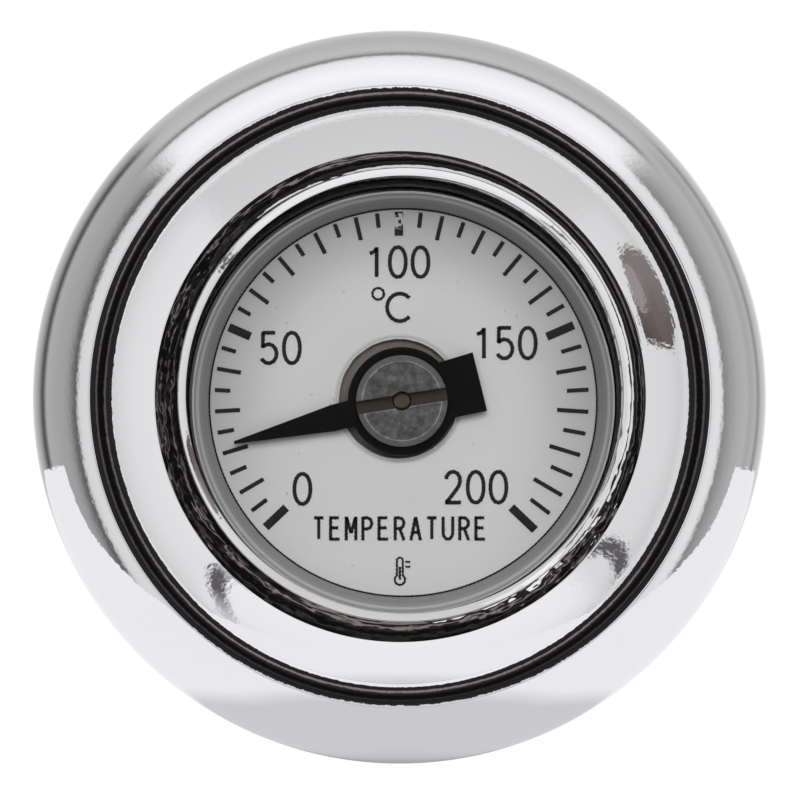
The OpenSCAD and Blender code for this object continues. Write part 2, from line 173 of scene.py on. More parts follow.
def mergePoles(piece):
    # a profile that touches the axis leaves a ring of equal points, which become one
    work = bmesh.new()
    work.from_mesh(piece.data)
    bmesh.ops.remove_doubles(work, verts=work.verts, dist=1e-8)
    work.to_mesh(piece.data)
    work.free()


# shader expressions

class Wire:
    # a socket that adds Math nodes when it is used in an expression
    def __init__(self, net, socket):
        self.net, self.socket = net, socket

    def math(self, operation, *others):
        return self.net.make("ShaderNodeMath", {"operation": operation}, dict(enumerate((self, *others))))

    def __add__(self, other): return self.math("ADD", other)
    def __sub__(self, other): return self.math("SUBTRACT", other)
    def __mul__(self, other): return self.math("MULTIPLY", other)
    def __truediv__(self, other): return self.math("DIVIDE", other)

    def __rsub__(self, other):
        return self.net.make("ShaderNodeMath", {"operation": "SUBTRACT"}, {0: other, 1: self})

    def __pow__(self, other): return self.math("POWER", other)
    __radd__ = __add__
    __rmul__ = __mul__


class Net:
    # the node tree of one material or world
    def __init__(self, tree):
        self.tree = tree
        tree.nodes.clear()

    def make(self, kind, settings=None, inputs=None, output=0):
        # settings first, then the values or links of the sockets
        node = self.tree.nodes.new(kind)
        for key, value in (settings or {}).items():
            if key == "stops":
                ramp = node.color_ramp
                while len(ramp.elements) < len(value):
                    ramp.elements.new(0.5)
                for element, (place, colour) in zip(ramp.elements, value):
                    element.position, element.color = place, colour
            elif key == "blend":
                node.color_ramp.interpolation = value
            else:
                setattr(node, key, value)
        for key, value in (inputs or {}).items():
            if isinstance(value, Wire):
                self.tree.links.new(value.socket, node.inputs[key])
            else:
                node.inputs[key].default_value = value
        return Wire(self, node.outputs[output]) if node.outputs else None

    def place(self):
        return self.make("ShaderNodeTexCoord", output="Object")

    def split(self, vector):
        node = self.tree.nodes.new("ShaderNodeSeparateXYZ")
        self.tree.links.new(vector.socket, node.inputs[0])
        return [Wire(self, node.outputs[k]) for k in range(3)]

    def noise(self, scale, detail=3.0, vector=None, rough=0.5):
        return self.make("ShaderNodeTexNoise", {}, {"Vector": vector or self.place(), "Scale": scale,
                                                     "Detail": detail, "Roughness": rough}, "Fac")

    def ramp(self, factor, stops, blend="LINEAR"):
        return self.make("ShaderNodeValToRGB", {"blend": blend, "stops": stops}, {"Fac": factor}, "Color")

    def mix(self, factor, first, second, how="MIX"):
        return self.make("ShaderNodeMix", {"data_type": "RGBA", "blend_type": how},
                         {0: factor, 6: first, 7: second}, 2)

    def bump(self, height, distance, strength=1.0):
        values = {"Height": height, "Distance": distance, "Strength": strength}
        return self.make("ShaderNodeBump", {}, values, "Normal")

    def radius(self, centre):
        # distance from an axis along y, in millimetres
        x, _, z = self.split(self.place())
        across, up = x / mm - centre[0], z / mm - centre[1]
        return (across * across + up * up) ** 0.5


def grey(value, warm=0.0):
    return (value * (1 + warm), value, value * (1 - warm), 1.0)


def material(name, build, **constants):
    # constants are set on the shader's own sockets
    made = bpy.data.materials.new(name)
    made.use_nodes = True
    net = Net(made.node_tree)
    shader = net.make("ShaderNodeBsdfPrincipled", {}, {**build(net), **constants}, "BSDF")
    net.make("ShaderNodeOutputMaterial", {}, {"Surface": shader})
    return made


chromeLook = {"colour": (0.885, 0.885, 0.90, 1.0), "haze": (0.86, 0.86, 0.88, 1.0), "roughness": 0.03,
              "soft wave": 0.000012, "flow": 0.00016, "orange peel": 0.0000042, "peel scale": 2300.0,
              "land": (18.2, 19.7), "flow turns": 7, "flow rows": 0.9}


def band(value, low, high, soft=0.15):
    # 1 between two values, falling to 0 over a short step on each side
    rise = ((value - low) / soft + 0.5).math("MAXIMUM", 0).math("MINIMUM", 1)
    fall = ((high - value) / soft + 0.5).math("MAXIMUM", 0).math("MINIMUM", 1)
    return rise * fall


def chromeNodes(net):
    # plated metal: slow waves and a fine orange peel, faint haze where it was wiped, and on the narrow
    # land, polished by hand, flow marks that run round it, deepest to the left and the lower right
    look = chromeLook
    x, _, z = net.split(net.place())
    reach = net.radius(capAxis)
    across, up = x / mm / reach, z / mm / reach
    turns = look["flow turns"]
    swirl = {0: across * turns, 1: up * turns, 2: reach * look["flow rows"]}
    flow = net.noise(1.0, 2.0, net.make("ShaderNodeCombineXYZ", {}, swirl))
    deep = (across * -1.0).math("MAXIMUM", 0) * 0.8 + (across * 0.75 - up * 0.66).math("MAXIMUM", 0) ** 4.0
    slow = net.noise(170.0, 2.0)
    peel = net.noise(look["peel scale"], 1.0)
    haze = net.noise(60.0, 4.0)
    height = (slow * look["soft wave"] + peel * look["orange peel"]
              + flow * (deep + 0.12) * band(reach, *look["land"], 0.4) * look["flow"])
    return {"Base Color": net.mix(haze, look["colour"], look["haze"]), "Metallic": 1.0,
            "Roughness": haze * 0.03 + look["roughness"] - 0.015, "Normal": net.bump(height, 1.0)}


surroundLook = {"inner": 15.79, "outer": 17.7, "line scale": 9.0, "line depth": 0.000006,
                "tones": [(15.85, .30), (16.55, .34), (16.62, .52), (16.74, .66), (16.82, .46), (16.95, .36),
                          (17.05, .58), (17.35, .70), (17.7, .66)]}


def surroundNodes(net):
    # grey lacquered metal: a darker band next to the dial, then lighter steps, with fine tool rings
    look = surroundLook
    reach = net.radius(surroundAxis)
    inner, width = look["inner"], look["outer"] - look["inner"]
    along = (reach - inner) / width
    rings = net.make("ShaderNodeTexNoise", {"noise_dimensions": "1D"},
                     {"W": reach * look["line scale"], "Scale": 1.0, "Detail": 2.0}, "Fac")
    stops = [((r - inner) / width, grey(tone, 0.012)) for r, tone in look["tones"]]
    streaks = net.ramp(rings, [(0.36, grey(0.80)), (0.46, grey(0.97)), (0.7, grey(1.0))])
    return {"Base Color": net.mix(1.0, net.ramp(along, stops), streaks, "MULTIPLY"),
            "Roughness": rings * 0.2 + 0.35, "Normal": net.bump(rings, look["line depth"])}


# the painted shade towards the dial's rim is listed as (radius, how much darker)
dialLook = {"colour": (0.80, 0.80, 0.80, 1.0), "shade": (0.76, 0.76, 0.765, 1.0), "grain": 0.0000035,
            "paintedShade": [(9.0, 0.0), (11.0, 0.09), (12.2, 0.20), (13.9, 0.34), (15.2, 0.42)], "paintedShade reach": 16.0}


def dialNodes(net):
    # thin matt paint: fine grain, a slow change of tone, painted shade towards the rim, strongest
    # at the top and none at the bottom, and round the hole a bright bare edge, chipped, with a faint
    # ring where the paint is thin
    grain = net.noise(5200.0, 2.0)
    cloud = net.noise(70.0, 2.0)
    dust = net.noise(3100.0, 0.0)
    chips = net.noise(1500.0, 3.0)
    specks = net.ramp(dust, [(0.0, grey(0.0)), (0.84, grey(0.0)), (0.88, grey(1.0))])
    paint = net.mix(cloud, dialLook["colour"], dialLook["shade"])
    reach = net.radius(headAxis)
    _, _, z = net.split(net.place())
    upward = (z / mm - headAxis[1]) / reach
    # painted shade: darker towards the rim, most at the top under the bezel's lip, none at the bottom
    far = dialLook["paintedShade reach"]
    stops = [(r / far, grey(level)) for r, level in dialLook["paintedShade"]]
    shadeTowardsTop = net.ramp(upward * 0.5 + 0.5, [(0.05, grey(0.0)), (0.5, grey(0.85)), (0.9, grey(1.0))])
    paintedShade = net.ramp(reach / far, stops) * shadeTowardsTop
    paint = net.mix(paintedShade, paint, grey(0.0))
    paint = net.mix(specks * 0.6, paint, grey(0.30))
    fromEdge = net.radius(holeAxis) - dialShape["hole radius"] + (chips - 0.5) * 0.16
    bare = net.ramp(fromEdge, [(0.0, grey(0.14, 0.06)), (0.05, grey(0.66)), (0.17, grey(0.62)),
                               (0.24, grey(0.45)), (0.30, grey(0.74)), (0.36, grey(0.56)), (0.44, grey(0.78))])
    rim = net.ramp(fromEdge, [(0.36, grey(1.0)), (0.50, grey(0.0))])
    return {"Base Color": net.mix(rim, paint, bare), "Roughness": grain * 0.1 + 0.5,
            "Normal": net.bump(grain, dialLook["grain"])}


wear = {"half width": 0.6, "from": 14.1, "to": 15.4, "scale": 2300.0}


def inkNodes(net):
    # screen-printed black: dense, a little patchy, and worn through at the outer half of the 100 mark
    patch = net.noise(3500.0, 3.0)
    x, _, z = net.split(net.place())
    half = wear["half width"]
    wearAndGlint = (band(x / mm - headAxis[0], -half, half)
            * band(z / mm - headAxis[1], wear["from"], wear["to"], 0.3))
    scratches = net.ramp(net.noise(wear["scale"], 2.0, rough=0.7), [(0.47, grey(0.0)), (0.53, grey(1.0))])
    black = net.mix(patch, grey(0.012, 0.08), grey(0.035, 0.08))
    return {"Base Color": net.mix(wearAndGlint * scratches, black, grey(0.50)), "Roughness": patch * 0.2 + 0.55}


def pointerNodes(net):
    # matt black paint with a fine sanded texture
    grain = net.noise(4200.0, 3.0)
    return {"Base Color": net.mix(grain, grey(0.002), grey(0.008)), "Roughness": grain * 0.2 + 0.55,
            "Normal": net.bump(grain, 0.000004)}


hubShape = {"bore": 0.77, "boss": 1.6, "chamfer": 0.46, "edge": 0.05, "slot width": 1.08, "slot depth": 0.5,
            "slot angle": 9.0, "samples": 40}
# the chamfer tone is a painted highlight; the last two give the painted glint's tone and width
hubLook = {"dark": 0.09, "mid": 0.17, "light": 0.30, "chamfer": 0.34, "wearAndGlint": 0.62, "glint width": 0.07}


def hubNodes(net):
    # darkened metal with a brushed, scuffed face; a painted highlight over the chamfer, painted
    # glints inside it and along the lower edge of the slot, and on the slot's browner floor painted
    # shade, darkest at its upper wall
    look = hubLook
    x, _, z = net.split(net.place())
    across, up = x / mm - headAxis[0], z / mm - headAxis[1]
    reach = net.radius(headAxis)
    scuffs = net.noise(1900.0, 6.0, rough=0.65)
    cloud = net.noise(420.0, 3.0)
    tones = [(place, grey(look[key])) for place, key in ((0.36, "dark"), (0.50, "mid"), (0.66, "light"))]
    tone = net.ramp(scuffs * 0.7 + cloud * 0.3, tones)
    edge = hub["radius"] - hubShape["chamfer"]
    # painted highlight: the outward-facing chamfer is painted lighter
    onChamfer = band(reach, edge, 9.0, 0.06)
    tone = net.mix(onChamfer * 0.5, tone, grey(look["chamfer"]))
    lean = math.radians(hubShape["slot angle"])
    offset = up * math.cos(lean) - across * math.sin(lean)
    half, thin = hubShape["slot width"] / 2, look["glint width"]
    inSlot = band(offset, -half, half, 0.05)
    # painted shade: the slot's floor is darker than the face, darkest at its upper wall
    slotShade = net.mix(offset / half * 0.5 + 0.5, (0.105, 0.088, 0.08, 1), (0.05, 0.042, 0.038, 1))
    tone = net.mix(inSlot, tone, slotShade)
    # painted glints: bright lines inside the chamfer's edge and along the slot's lower edge
    wearAndGlint = (band(reach, edge - thin, edge + 0.02, 0.05) * (1 - inSlot)
            + band(offset, -half - thin, -half, 0.05) * band(reach, 0.8, edge, 0.1))
    tone = net.mix(wearAndGlint * net.ramp(scuffs, [(0.36, grey(0.25)), (0.6, grey(0.8))]), tone, grey(look["wearAndGlint"]))
    return {"Base Color": tone, "Metallic": 0.6, "Roughness": scuffs * 0.25 + 0.36,
            "Normal": net.bump(scuffs * 0.4 + cloud * 0.3, 0.00001)}


def metalNodes(colour, roughness, ringScale=10.0, depth=0.000003, centre=headAxis):
    # machined metal: tool rings about the axis and along it, with a light stain
    def build(net):
        _, along, _ = net.split(net.place())
        reach = net.radius(centre)
        rings = net.make("ShaderNodeTexNoise", {"noise_dimensions": "1D"},
                         {"W": (reach + along / mm) * ringScale, "Scale": 1.0, "Detail": 3.0}, "Fac")
        stain = net.noise(180.0, 4.0)
        darker = tuple(c * 0.78 for c in colour[:3]) + (1.0,)
        return {"Base Color": net.mix(stain, colour, darker), "Metallic": 1.0,
                "Roughness": rings * 0.12 + stain * 0.1 + roughness - 0.1, "Normal": net.bump(rings, depth)}
    return build


def softNodes(colour, roughness, scale=1500.0, depth=0.00001):
    # rubber or moulded plastic: a fine grain and slight change of tone
    def build(net):
        grain = net.noise(scale, 3.0)
        lighter = tuple(min(1.0, c * 1.6 + 0.004) for c in colour[:3]) + (1.0,)
        return {"Base Color": net.mix(grain, colour, lighter), "Roughness": grain * 0.2 + roughness - 0.1,
                "Normal": net.bump(grain, depth)}
    return build


def glassNodes(net):
    # clear flat glass: see-through face on, mirror-like at a low angle
    fresnel = net.make("ShaderNodeFresnel", {}, {"IOR": 1.5}, "Fac")
    smear = net.noise(90.0, 4.0)
    return {"Base Color": (0.93, 0.96, 0.96, 1.0), "Metallic": 1.0, "Roughness": smear * 0.04 + 0.01,
            "Alpha": fresnel * 1.3 + smear * 0.012}


chrome = material("polishedChrome", chromeNodes)
surroundGrey = material("turnedGreySurround", surroundNodes)
dialPaint = material("dialPaint", dialNodes, **{"Specular IOR Level": 0.35})
ink = material("scaleInk", inkNodes, **{"Specular IOR Level": 0.2})
pointerBlack = material("pointerBlack", pointerNodes, **{"Specular IOR Level": 0.2})
hubMetal = material("hubMetal", hubNodes)
brass = material("turnedBrass", metalNodes((0.62, 0.47, 0.20, 1.0), 0.3))
spindleBrass = material("spindleBrass", metalNodes((0.30, 0.255, 0.21, 1.0), 0.42))
bushMetal = material("bushMetal", softNodes((0.15, 0.135, 0.125, 1.0), 0.5, 2600.0))
nickel = material("satinNickel", metalNodes((0.64, 0.63, 0.61, 1.0), 0.26, 8.0, 0.000004, capAxis))
steel = material("drawnSteel", metalNodes((0.62, 0.62, 0.62, 1.0), 0.24, 6.0, 0.000002))
zinc = material("zincPlate", metalNodes((0.66, 0.67, 0.70, 1.0), 0.34))
bimetal = material("bimetalStrip", metalNodes((0.50, 0.40, 0.24, 1.0), 0.36))
rubber = material("blackRubber", softNodes((0.012, 0.012, 0.012, 1.0), 0.62))
blackPlastic = material("blackPlastic", softNodes((0.02, 0.02, 0.02, 1.0), 0.5))
whitePlastic = material("whitePlastic", softNodes((0.62, 0.62, 0.59, 1.0), 0.5, 900.0))
glass = material("clearGlass", glassNodes)
print("materials made")


# cap

capShape = {"shoulder radius": 6.12, "shoulder drop": 1.6, "shoulder start": 24.5, "shoulder blend": 35.0,
            "bore": 18.3, "groove width": 1.9, "groove floor": 12.27, "groove sag": 0.11, "groove lean": 13.4,
            "ring width": 3.45, "ring slopes": (13, 24), "land width": 1.5, "land lean": 12.4,
            "back edge radius": 2.0, "edge softness": 0.12, "recess radius": 16.05, "web hole": 5.45,
            "web": (3.5, 6.0), "lip shift": (0.36, 0.16)}


def hollow(inner, outer, edge, lean, count=14):
    # a shallow arc between two radii, lowest in the middle; lean is its slope at both edges
    tilt = math.radians(lean)
    middle, radius = (inner + outer) / 2, (outer - inner) / 2 / math.sin(tilt)
    return arcPoints(middle, edge + radius * math.cos(tilt), radius, 180 - lean, 180 + lean, count)


def shoulderPoints(side, depth, inner):
    # a quarter round from the side, whose slope past the blend falls evenly with the radius down to
    # its start at the groove; the depth is the sum of the slope's tangent
    s = capShape
    blend = math.radians(s["shoulder blend"])
    r = np.linspace(side + s["shoulder radius"] * math.sin(blend), inner, 14)
    middles, ends = (r[1:] + r[:-1]) / 2, [s["shoulder start"], s["shoulder blend"]]
    slope = np.radians(np.interp(middles, [inner, r[0]], ends))
    d = depth + s["shoulder radius"] * math.cos(blend) + np.cumsum(np.tan(slope) * (r[:-1] - r[1:]))
    return arcPoints(side, depth, s["shoulder radius"], 90, s["shoulder blend"], 34) + list(zip(r[1:], d))


def capCorners():
    # outside of the recess, back edge, side, shoulder, groove, domed ring, land, bore, web
    s = capShape
    front, bore = cap["front"], s["bore"]
    ringIn = bore + s["land width"]
    grooveIn = ringIn + s["ring width"]
    grooveOut = grooveIn + s["groove width"]
    side = cap["radius"] - s["shoulder radius"]
    lean = math.asin((grooveOut - side) / s["shoulder radius"])
    shoulderDepth = front - s["shoulder drop"] - s["shoulder radius"] * math.cos(lean)
    slopeIn, slopeOut = s["ring slopes"]
    tiltIn, tiltOut = math.radians(slopeIn), math.radians(slopeOut)
    crown = s["ring width"] / (math.sin(tiltOut) - math.sin(tiltIn))
    crownAt = (ringIn - crown * math.sin(tiltIn), front - crown * math.cos(tiltIn))
    back, soft, recess, hole = s["back edge radius"], s["edge softness"], s["recess radius"], s["web hole"]
    webBack, webFront = s["web"]
    shoulder = shoulderPoints(side, shoulderDepth, grooveOut)
    dome = arcPoints(*crownAt, crown, slopeOut, slopeIn, 14)
    groove = hollow(grooveIn, grooveOut, s["groove floor"] + s["groove sag"], s["groove lean"])
    land = hollow(bore, ringIn, front, s["land lean"])
    return ([(hole, webBack, soft), (recess, webBack, soft), (recess, 0, soft)]
            + arcPoints(cap["radius"] - back, back, back, 180, 90, 14)
            + shoulder[:-1] + [(*shoulder[-1], 0.03)] + groove
            + [(*dome[0], 0.03)] + dome[1:-1] + [(*dome[-1], 0.04)]
            + land[1:-1] + [(bore, front, 0.03), (bore, webFront, soft), (hole, webFront, soft)])


def lipShift(start, full, inner, outer):
    # the lip round the glass isn't quite central: points between two radii move sideways, all the
    # way at the inner one and at the front
    dx, dz = capShape["lip shift"]

    def relief(radius, depth, turn):
        share = np.clip((depth - start) / (full - start), 0, 1)
        share = share * np.clip((outer - radius) / (outer - inner), 0, 1)
        return -(dx * np.cos(turn) + dz * np.sin(turn)) * share * (radius > inner - 0.4)
    return relief


turnedPiece("capBody", capCorners(), capAxis, "cap_body", "housing", chrome, 256,
            lipShift(14.0, 14.6, capShape["bore"], capShape["bore"] + capShape["land width"]))

bezelShape = {"skirt": 17.82, "widest": 18.27, "lip": 17.68, "lean": (13.5, 25.0), "drop": 0.01, "step": 0.5}


def bezelCorners():
    # skirt round the glass, then the lip that leans in over it, hollow, from one slope to the other
    s, outer, front = bezelShape, bezel["radius"], bezel["front"]
    start, end = s["lean"]
    r = np.linspace(s["widest"], s["lip"], 9)
    slope = np.radians(np.linspace(start, end, 8))
    face = front - s["drop"] - np.concatenate([[0], np.cumsum(np.tan(slope) * (r[:-1] - r[1:]))])
    return ([(s["skirt"], bezel["back"], 0.03), (outer, bezel["back"], 0.03), (outer, lens["front"]),
             (s["widest"], lens["front"] + s["step"])] + list(zip(r, face))
            + [(s["lip"], lens["front"], 0.03), (s["skirt"], lens["front"], 0.03)])


def bezelShift(radius, depth, turn):
    # the part over the glass follows the cap's lip
    dx, dz = (to - own for to, own in zip(capShape["lip shift"], bezel["centre"]))
    share = np.clip((depth - lens["front"]) / bezelShape["step"], 0, 1)
    return -(dx * np.cos(turn) + dz * np.sin(turn)) * share


turnedPiece("bezelRing", bezelCorners(), bezel["centre"], "bezel_ring", "housing", chrome, 256,
            bezelShift)
print("cap and bezel made")


# glass and seals

def plainRing(inner, outer, back, front, soft):
    return [(inner, back, soft), (outer, back, soft), (outer, front, soft), (inner, front, soft)]


def plainDisc(outer, back, front, soft):
    return [(0, back), (outer, back, soft), (outer, front, soft), (0, front)]


turnedPiece("lensGlass", plainDisc(lens["radius"], lens["back"], lens["front"], 0.15), lens["centre"],
            "lens", "housing", glass, 192)
gasketShape = {"inner": 17.5, "edge": 0.1}
gasketRing = plainRing(gasketShape["inner"], gasket["radius"], gasket["back"], gasket["front"],
                       gasketShape["edge"])
turnedPiece("lensGasket", gasketRing, gasket["centre"], "lens_gasket", "housing", rubber, 160)


# dial group

surroundShape = {"opening": 15.88, "foot": 0.2, "rim": 0.2, "clear": 0.14}


def surroundCorners():
    # foot on the dial, then one even slope up to the rim
    s = surroundShape
    outer, back, front = surround["radius"] - s["clear"], surround["back"], surround["front"]
    mouth = outer - s["rim"]
    return [(s["opening"], back, 0.02), (outer, back, 0.02), (outer, front, 0.02), (mouth, front, 0.02),
            (s["opening"], back + s["foot"], 0.02)]


turnedPiece("dialSurround", surroundCorners(), surroundAxis, "dial_surround", "housing", surroundGrey, 192)


def dialPoints(segments=192):
    # rings between two circles whose centres differ: the first parameter blends from the punched
    # hole to the rim, and the second is the turn; a second sheet behind closes the plate
    s = dialShape
    turn = np.linspace(0, 2 * np.pi, segments, endpoint=False)
    ring = np.stack([np.cos(turn), np.sin(turn)], -1)
    hole, rim = np.array(holeAxis), np.array(headAxis)
    punched, edge, front = s["hole radius"], s["edge"], dial["front"]
    rows = [(0.0, punched + edge * (1 - math.sin(b)), front - edge * (1 - math.cos(b - np.pi / 2)))
            for b in np.radians(np.linspace(90, 0, 6))]
    rows += [(t, (1 - t) * (punched + edge) + t * dial["radius"], front) for t in np.linspace(0, 1, 12)[1:]]
    rows.append((1.0, dial["radius"], dial["back"]))
    rows.append((0.0, punched, dial["back"]))
    t, r, d = (np.array(column)[:, None, None] for column in zip(*rows))
    flat = (1 - t) * hole + t * rim + r * ring
    depth = np.broadcast_to(d[..., 0], flat.shape[:2])
    return np.stack([flat[..., 0], -depth, flat[..., 1]], -1)


gridPiece("dialPlate", dialPoints(), "dial_plate", "housing", dialPaint)
print("dial made")


bushShape = {"bearing": 0.77, "foot": 4.0, "foot height": 0.6, "neck": 2.39, "flange height": 0.3}


def bushCorners():
    # foot on the case, neck, and the wide flange that shows round the pointer's disc
    s, flange, top = bushShape, bush["radius"], bush["front"]
    bearing, foot, neck = s["bearing"], s["foot"], s["neck"]
    step, under = bush["back"] + s["foot height"], top - s["flange height"]
    return [(bearing, bush["back"], 0.05), (foot, bush["back"], 0.1), (foot, step, 0.1), (neck, step, 0.1),
            (neck, under, 0.05), (flange, under, 0.08), (flange, top, 0.08), (bearing, top, 0.05)]


turnedPiece("upperBush", bushCorners(), headAxis, "upper_bush", "housing", bushMetal, 128)


# pointer

pointerShape = {"angle": 193.95, "disc": 4.39, "neck half": 1.085, "neck end": 5.66, "tip": 14.06,
                "tip half": 0.12, "tail root half": 2.15, "tail end half": 2.46, "tail end": 6.55,
                "bore": 1.6, "bevel": 0.05}


def pointerOutline():
    # half of the outline from the tip, along the needle, round the disc and out along the tail,
    # then the same mirrored
    s = pointerShape
    disc = s["disc"]
    lean = (s["tail end half"] - s["tail root half"]) / s["tail end"]
    steep, linear = 1 + lean * lean, lean * s["tail root half"]
    reach = (-linear + math.sqrt(linear * linear - steep * (s["tail root half"] ** 2 - disc ** 2))) / steep
    start = math.asin(s["neck half"] / disc)
    end = math.pi - math.atan2(s["tail root half"] + lean * reach, reach)
    arc = np.linspace(start, end, 40)
    half = np.concatenate([[[s["tip"], s["tip half"]], [s["neck end"], s["neck half"]]],
                           disc * np.stack([np.cos(arc), np.sin(arc)], -1),
                           [[-s["tail end"], s["tail end half"]]]])
    return np.concatenate([half, half[::-1] * [1, -1]])


def inset(outline, amount):
    # each corner moves in along both of its sides' normals
    side = np.roll(outline, -1, 0) - outline
    side /= np.linalg.norm(side, axis=1)[:, None]
    normal = np.stack([-side[:, 1], side[:, 0]], -1)
    before = np.roll(normal, 1, 0)
    return outline + amount * (normal + before) / (1 + (normal * before).sum(1))[:, None]


def turnFlat(points, degrees):
    c, s = math.cos(math.radians(degrees)), math.sin(math.radians(degrees))
    return points @ np.array([[c, s], [-s, c]])


def onDial(points, depth):
    # flat points (across, up) about the head's axis become points in space at that depth
    x, z = headAxis
    return np.stack([x + points[..., 0], -depth + 0 * points[..., 0], z + points[..., 1]], -1)


def pointerPoints():
    # the first parameter runs from the bore, under, round the edge and back over the top, the
    # second round the outline
    s = pointerShape
    outline = pointerOutline()
    bore = s["bore"] * outline / np.linalg.norm(outline, axis=1)[:, None]
    back, front, bevel = pointer["back"], pointer["front"], s["bevel"]
    rows = [(bore, back), (inset(outline, bevel), back), (outline, back + bevel), (outline, front - bevel),
            (inset(outline, bevel), front), (bore, front)]
    return np.stack([onDial(turnFlat(shape, s["angle"]), depth) for shape, depth in rows])


gridPiece("pointerBlade", pointerPoints(), "pointer", "pointer", pointerBlack, sharp=20)


def hubPoints():
    # the turned profile, with columns that follow the slot's two straight walls: at each radius the
    # slot takes the angles whose height across is under half its width, and there the depth stops at
    # the slot's floor
    s = hubShape
    outer, front, foot, cut = hub["radius"], hub["front"], pointer["front"], s["chamfer"]
    profile = softProfile([(s["bore"], hub["back"]), (s["boss"], hub["back"], 0.05), (s["boss"], foot),
                           (outer, foot, s["edge"]), (outer, front - cut * 0.6, s["edge"]),
                           (outer - cut, front, s["edge"]), (s["bore"], front, s["edge"])])
    radius, depth = profile[:, 0:1], profile[:, 1:2]
    part = np.linspace(0, 1, s["samples"])[None]
    half = np.arcsin(np.minimum(s["slot width"] / 2 / radius, 1))
    floor = front - s["slot depth"]
    turns, depths = [], []
    for start in (0.0, math.pi):
        turns += [start - half + 2 * half * part, start + half + (math.pi - 2 * half) * part]
        depths += [np.minimum(depth, floor) + 0 * part, depth + 0 * part]
    turn = np.concatenate(turns, 1) + math.radians(s["slot angle"])
    depth = np.concatenate(depths, 1)
    return onDial(np.stack([radius * np.cos(turn), radius * np.sin(turn)], -1), depth)


gridPiece("pointerHub", hubPoints(), "pointer_hub", "pointer", hubMetal, sharp=32)


spindleShape = {"dome": 0.16}


def spindleCorners():
    # a drawn wire with a slightly domed, peened end
    outer, back, front = spindle["radius"], spindle["back"], spindle["front"]
    dome, turns = spindleShape["dome"], np.radians((75, 55, 38, 22, 8))
    peened = [(outer * math.sin(a), front - dome + dome * math.cos(a)) for a in turns]
    return [(0, back), (outer, back, 0.1), (outer, front - dome, 0.03)] + peened + [(0, front)]


turnedPiece("spindleWire", spindleCorners(), headAxis, "spindle", "spindle", spindleBrass, 64)
print("pointer made")


# print on the dial

printLook = {"thickness": 0.04, "sunk": 0.02, "digit stroke": 0.32, "word stroke": 0.265, "cell": 1.62,
             "gap": 0.23, "ragged": 0.021, "ragged waves": ((18.0, 1.7), (23.0, 2.9))}


def arcStroke(x, y, rx, ry, start, end, count=28, power=2.0):
    # part of a superellipse
    turn = np.radians(np.linspace(start, end, count))
    wide, high = (np.sign(v) * abs(v) ** (2 / power) for v in (np.cos(turn), np.sin(turn)))
    return np.stack([x + rx * wide, y + ry * high], -1)


def line(*points):
    return np.array(points, float)


def join(*strokes):
    return np.concatenate(strokes)


# strokes in a cell one wide and one high, that the pen's centre runs along
glyphs = {
    "0": [(arcStroke(0.5, 0.5, 0.5, 0.5, 0, 360, 49, 2.12)[:-1], True)],
    "1": [line((0.60, 0), (0.60, 1)), join(line((0.60, 0.97), (0.50, 0.88), (0.38, 0.83), (0.16, 0.79)))],
    "2": [join(arcStroke(0.5, 0.72, 0.44, 0.28, 172, -22, 22),
               line((0.84, 0.52), (0.62, 0.36), (0.30, 0.14), (0.06, 0.0))),
          line((0.0, 0), (1.0, 0))],
    "5": [line((0.10, 1.0), (0.88, 1.0)), line((0.12, 1.03), (0.10, 0.50)),
          join(line((0.08, 0.53), (0.24, 0.59)), arcStroke(0.46, 0.31, 0.50, 0.31, 100, -150, 30))],
    "T": [line((0, 1), (1, 1)), line((0.5, 1), (0.5, 0))],
    "E": [line((0.05, 1.06), (0.05, -0.06)), line((0, 1), (0.92, 1)), line((0, 0.53), (0.84, 0.53)),
          line((0, 0), (1, 0))],
    "M": [line((0, -0.06), (0, 1.06)), line((1, -0.06), (1, 1.06)), line((0.03, 1.03), (0.5, 0.28)),
          line((0.97, 1.03), (0.5, 0.28))],
    "P": [line((0.05, -0.06), (0.05, 1.06)),
          join(line((0.05, 1)), arcStroke(0.45, 0.74, 0.52, 0.26, 90, -90, 20), line((0.05, 0.48)))],
    "R": [line((0.05, -0.06), (0.05, 1.06)),
          join(line((0.05, 1)), arcStroke(0.45, 0.75, 0.50, 0.25, 90, -90, 20), line((0.05, 0.5))),
          line((0.52, 0.5), (0.98, -0.06))],
    "A": [line((0, -0.06), (0.5, 1.04)), line((1, -0.06), (0.5, 1.04)), line((0.15, 0.32), (0.85, 0.32))],
    "U": [join(line((0, 1.06), (0, 0.35)), arcStroke(0.5, 0.32, 0.5, 0.32, 180, 360, 20),
               line((1, 0.35), (1, 1.06)))],
    "C": [arcStroke(0.54, 0.5, 0.54, 0.5, 42, 318, 36)],
}


def finer(path, closed, step=0.09):
    # points at equal steps along the path
    if closed:
        path = np.concatenate([path, path[:1]])
    length = np.concatenate([[0], np.cumsum(np.linalg.norm(np.diff(path, axis=0), axis=1))])
    count = max(4, int(length[-1] / step) + 1)
    at = np.linspace(0, length[-1], count + 1)
    at = at[:-1] if closed else at
    return np.stack([np.interp(at, length, path[:, k]) for k in range(2)], -1), at


